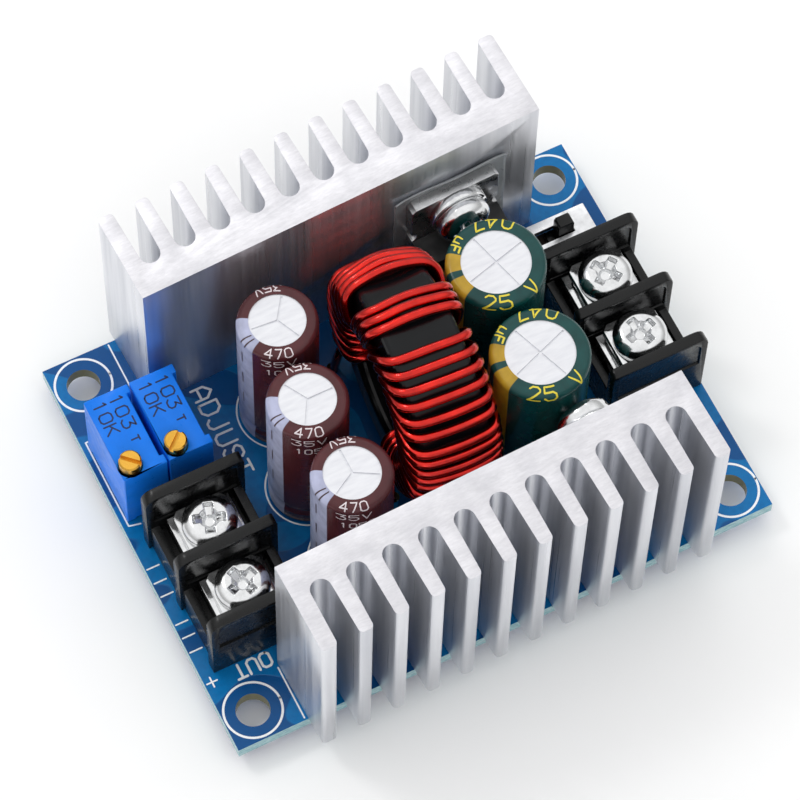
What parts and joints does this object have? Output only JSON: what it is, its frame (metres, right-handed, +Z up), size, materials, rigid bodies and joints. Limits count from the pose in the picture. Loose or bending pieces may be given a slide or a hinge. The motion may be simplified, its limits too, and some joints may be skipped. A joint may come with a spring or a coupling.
{
  "type": "buck converter module",
  "caption": "Circuit board with two finned heatsinks, an upright toroid inductor, can capacitors, screw terminals, trimmers and a slide switch.",
  "frame": {"origin": "centre of the board in plan, at the height of the trimmed lead tips it rests on", "axes": "+X along the board from the output terminal to the input terminal, +Y towards the rear heatsink, +Z up"},
  "size_m": [0.06, 0.0524, 0.0282],
  "materials": {
    "solder_mask": "satin solder mask over glass laminate",
    "tinned_metal": "tin plated, bright",
    "extruded_aluminium": "extruded, sawn ends, matt",
    "insulating_pad": "thin grey silicone sheet",
    "moulding_compound": "moulded epoxy, fine matt",
    "nickel_plate": "nickel plated steel",
    "core_coating": "black powder coat",
    "red_enamel": "red wire enamel, glossy",
    "brown_sleeve": "heat-shrunk vinyl",
    "green_sleeve": "heat-shrunk vinyl",
    "can_aluminium": "drawn aluminium, satin",
    "rubber_bung": "matt",
    "black_nylon": "moulded, semi-gloss",
    "blue_plastic": "moulded, satin",
    "pale_resin": "cast epoxy",
    "brass_screw": "turned",
    "switch_steel": "tin plated sheet, bright",
    "brown_laminate": "phenolic",
    "resistor_film": "glazed film",
    "ceramic": "fired ceramic"
  },
  "bodies": {
    "module": {"board": "solder_mask", "solder_joints": "tinned_metal", "rear_heatsink": "extruded_aluminium", "front_heatsink": "extruded_aluminium", "heatsink_pins": "tinned_metal", "transistor_pad": "insulating_pad", "transistor_frame": "tinned_metal", "transistor_body": "moulding_compound", "transistor_washer": "nickel_plate", "transistor_screw": "nickel_plate", "rectifier_pad": "insulating_pad", "rectifier_frame": "tinned_metal", "rectifier_body": "moulding_compound", "rectifier_washer": "nickel_plate", "rectifier_screw": "nickel_plate", "inductor_core": "core_coating", "inductor_winding": "red_enamel", "output_capacitor_1_can": "can_aluminium", "output_capacitor_1_sleeve": "brown_sleeve", "output_capacitor_1_base": "rubber_bung", "output_capacitor_2_can": "can_aluminium", "output_capacitor_2_sleeve": "brown_sleeve", "output_capacitor_2_base": "rubber_bung", "output_capacitor_3_can": "can_aluminium", "output_capacitor_3_sleeve": "brown_sleeve", "output_capacitor_3_base": "rubber_bung", "input_capacitor_1_can": "can_aluminium", "input_capacitor_1_sleeve": "green_sleeve", "input_capacitor_1_base": "rubber_bung", "input_capacitor_2_can": "can_aluminium", "input_capacitor_2_sleeve": "green_sleeve", "input_capacitor_2_base": "rubber_bung", "output_terminal_block": "black_nylon", "output_terminal_contacts": "nickel_plate", "input_terminal_block": "black_nylon", "input_terminal_contacts": "nickel_plate", "trimmer_1_case": "blue_plastic", "trimmer_1_base": "pale_resin", "trimmer_2_case": "blue_plastic", "trimmer_2_base": "pale_resin", "switch_cover": "switch_steel", "switch_base": "brown_laminate", "chip_bodies": "moulding_compound", "chip_leads": "tinned_metal", "shunt_resistors": "resistor_film", "chip_resistors": "resistor_film", "chip_capacitors": "ceramic"},
    "output_wire_clamp_1": {"output_clamp_1": "nickel_plate"},
    "output_screw_1": {"output_clamp_screw_1": "nickel_plate"},
    "output_wire_clamp_2": {"output_clamp_2": "nickel_plate"},
    "output_screw_2": {"output_clamp_screw_2": "nickel_plate"},
    "input_wire_clamp_1": {"input_clamp_1": "nickel_plate"},
    "input_screw_1": {"input_clamp_screw_1": "nickel_plate"},
    "input_wire_clamp_2": {"input_clamp_2": "nickel_plate"},
    "input_screw_2": {"input_clamp_screw_2": "nickel_plate"},
    "trimmer_screw_1": {"trimmer_1_screw": "brass_screw"},
    "trimmer_screw_2": {"trimmer_2_screw": "brass_screw"},
    "switch_slider": {"switch_knob": "black_nylon"}
  },
  "joints": [
    {"name": "output_clamp_1_lift", "type": "slide", "parent": "module", "child": "output_wire_clamp_1", "axis": [0, 0, 1], "range_m": [-0.0003, 0.0022]},
    {"name": "output_screw_1_turn", "type": "hinge", "parent": "output_wire_clamp_1", "child": "output_screw_1", "pos_m": [-0.0232, -0.01024, 0.0089], "axis": [0, 0, 1], "range_deg": [-217, 1585]},
    {"name": "output_clamp_2_lift", "type": "slide", "parent": "module", "child": "output_wire_clamp_2", "axis": [0, 0, 1], "range_m": [-0.0003, 0.0022]},
    {"name": "output_screw_2_turn", "type": "hinge", "parent": "output_wire_clamp_2", "child": "output_screw_2", "pos_m": [-0.0232, -0.00274, 0.0089], "axis": [0, 0, 1], "range_deg": [-217, 1585]},
    {"name": "input_clamp_1_lift", "type": "slide", "parent": "module", "child": "input_wire_clamp_1", "axis": [0, 0, 1], "range_m": [-0.0011, 0.0014]},
    {"name": "input_screw_1_turn", "type": "hinge", "parent": "input_wire_clamp_1", "child": "input_screw_1", "pos_m": [0.0245, -0.00375, 0.0089], "axis": [0, 0, 1], "range_deg": [-793, 1009]},
    {"name": "input_clamp_2_lift", "type": "slide", "parent": "module", "child": "input_wire_clamp_2", "axis": [0, 0, 1], "range_m": [-0.0011, 0.0014]},
    {"name": "input_screw_2_turn", "type": "hinge", "parent": "input_wire_clamp_2", "child": "input_screw_2", "pos_m": [0.0245, 0.00375, 0.0089], "axis": [0, 0, 1], "range_deg": [-793, 1009]},
    {"name": "trimmer_1_turn", "type": "hinge", "parent": "module", "child": "trimmer_screw_1", "pos_m": [-0.028, 0.0052, 0.0135], "axis": [0, 0, 1], "continuous": true},
    {"name": "trimmer_2_turn", "type": "hinge", "parent": "module", "child": "trimmer_screw_2", "pos_m": [-0.023, 0.0052, 0.0135], "axis": [0, 0, 1], "continuous": true},
    {"name": "switch_slide", "type": "slide", "parent": "module", "child": "switch_slider", "axis": [1, 0, 0], "range_m": [-0.002, 0]}
  ],
  "couplings": [
    {"joint": "output_screw_1_turn", "follows": "output_clamp_1_lift", "rad_per_m": 12566},
    {"joint": "output_screw_2_turn", "follows": "output_clamp_2_lift", "rad_per_m": 12566},
    {"joint": "input_screw_1_turn", "follows": "input_clamp_1_lift", "rad_per_m": 12566},
    {"joint": "input_screw_2_turn", "follows": "input_clamp_2_lift", "rad_per_m": 12566}
  ]
}
